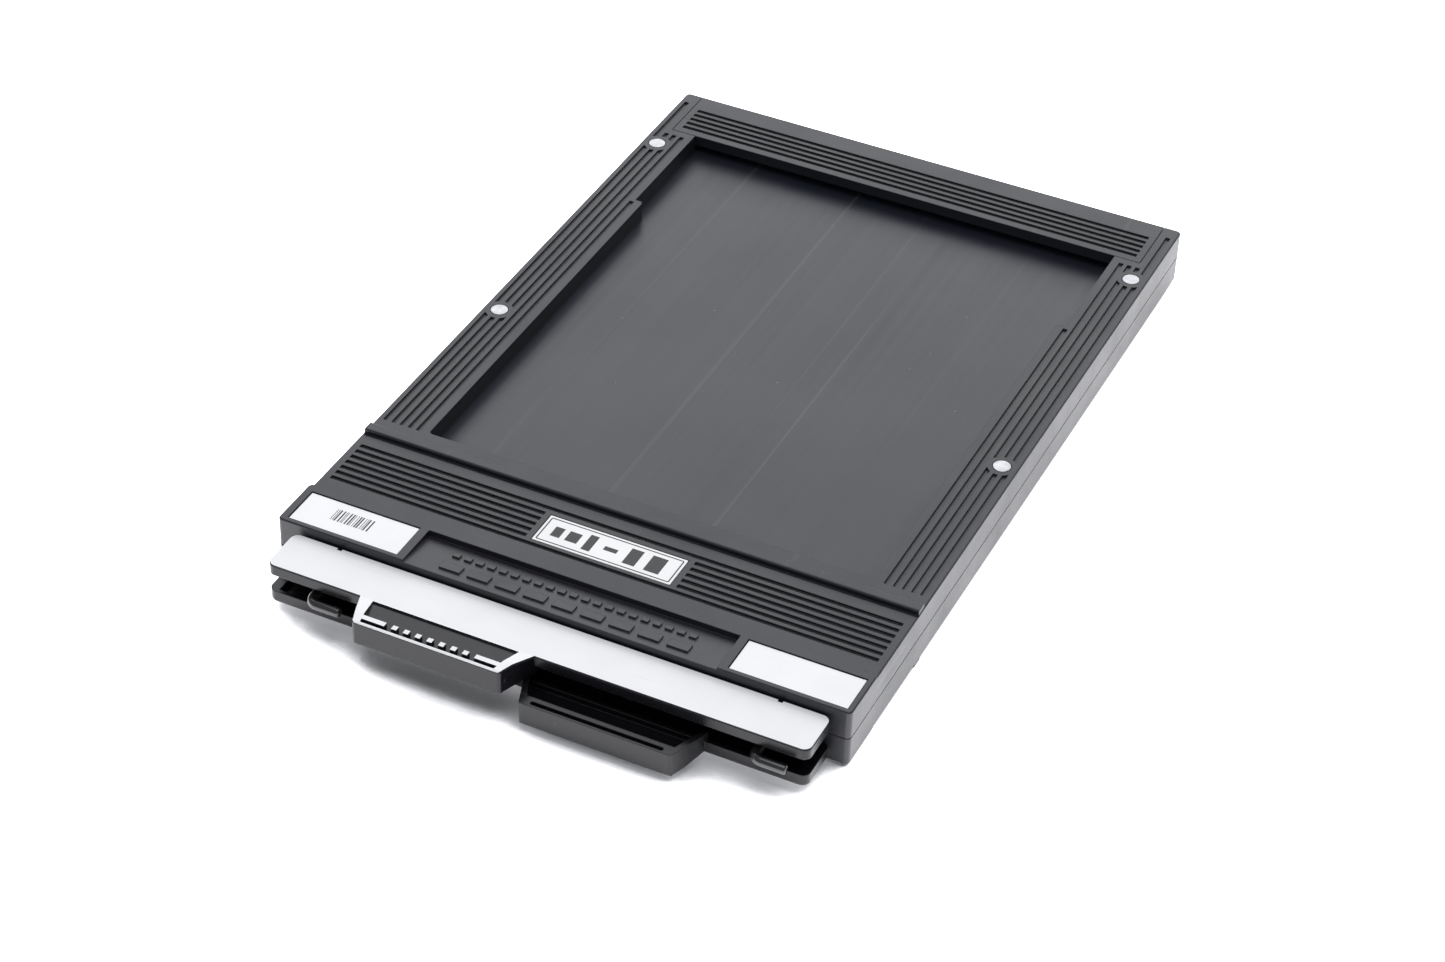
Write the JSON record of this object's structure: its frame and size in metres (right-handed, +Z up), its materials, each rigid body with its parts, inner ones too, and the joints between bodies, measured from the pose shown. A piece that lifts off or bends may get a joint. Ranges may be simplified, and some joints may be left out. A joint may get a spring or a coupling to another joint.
{
  "type": "cut film holder",
  "caption": "Flat sheet film holder with pull-out dark slides on both sides, hinged loading flaps, locating ribs and turning wire locks.",
  "frame": {"origin": "bottom centre of the closed holder, on the plane through the crest of its lower locating rib", "axes": "+Z up through the holder's thickness, slide handles towards -Y, loading flaps towards +Y, +X across"},
  "size_m": [0.1206, 0.1952, 0.0139],
  "materials": {
    "shell_plastic": "fine satin moulding",
    "septum_plastic": "matt, against reflections",
    "guide_plastic": "satin",
    "trap_felt": "short pile",
    "spring_steel": "plain strip",
    "rivet_aluminium": "bright pressed heads",
    "pin_steel": "ground",
    "label_foil": "printed foil, satin",
    "plate_plastic": "satin",
    "blade_plastic": "satin, faint lengthwise lines",
    "handle_plastic": "glossy moulding",
    "facing_white": "white foil",
    "latch_wire": "glossy black enamel"
  },
  "bodies": {
    "holder": {"upper_shell": "shell_plastic", "lower_shell": "shell_plastic", "septum": "septum_plastic", "upper_left_film_guide": "guide_plastic", "upper_right_film_guide": "guide_plastic", "lower_left_film_guide": "guide_plastic", "lower_right_film_guide": "guide_plastic", "upper_trap_felt": "trap_felt", "lower_trap_felt": "trap_felt", "upper_trap_spring": "spring_steel", "lower_trap_spring": "spring_steel", "assembly_rivets": "rivet_aluminium", "upper_hinge_pin": "pin_steel", "lower_hinge_pin": "pin_steel", "upper_left_label": "label_foil", "upper_right_label": "label_foil", "lower_left_label": "label_foil", "lower_right_label": "label_foil", "upper_size_plate": "plate_plastic", "lower_size_plate": "plate_plastic"},
    "upper_slide": {"upper_slide_blade": "blade_plastic", "upper_slide_handle": "handle_plastic", "upper_handle_facing": "facing_white", "upper_tab_marks": "facing_white"},
    "lower_slide": {"lower_slide_blade": "blade_plastic", "lower_slide_handle": "handle_plastic", "lower_handle_facing": "facing_white", "lower_tab_marks": "facing_white"},
    "upper_flap": {"upper_flap": "shell_plastic"},
    "lower_flap": {"lower_flap": "shell_plastic"},
    "left_latch": {"left_latch": "latch_wire"},
    "right_latch": {"right_latch": "latch_wire"}
  },
  "joints": [
    {"name": "upper_slide_pull", "type": "slide", "parent": "holder", "child": "upper_slide", "axis": [0, -1, 0], "range_m": [0, 0.166]},
    {"name": "lower_slide_pull", "type": "slide", "parent": "holder", "child": "lower_slide", "axis": [0, -1, 0], "range_m": [0, 0.166]},
    {"name": "upper_flap_hinge", "type": "hinge", "parent": "holder", "child": "upper_flap", "pos_m": [0, 0.0961, 0.00965], "axis": [-1, 0, 0], "range_deg": [0, 100]},
    {"name": "lower_flap_hinge", "type": "hinge", "parent": "holder", "child": "lower_flap", "pos_m": [0, 0.0961, 0.00425], "axis": [1, 0, 0], "range_deg": [0, 100]},
    {"name": "left_latch_turn", "type": "hinge", "parent": "holder", "child": "left_latch", "pos_m": [-0.0463, -0.079, 0.00695], "axis": [0, 1, 0], "continuous": true},
    {"name": "right_latch_turn", "type": "hinge", "parent": "holder", "child": "right_latch", "pos_m": [0.0463, -0.079, 0.00695], "axis": [0, 1, 0], "continuous": true}
  ]
}
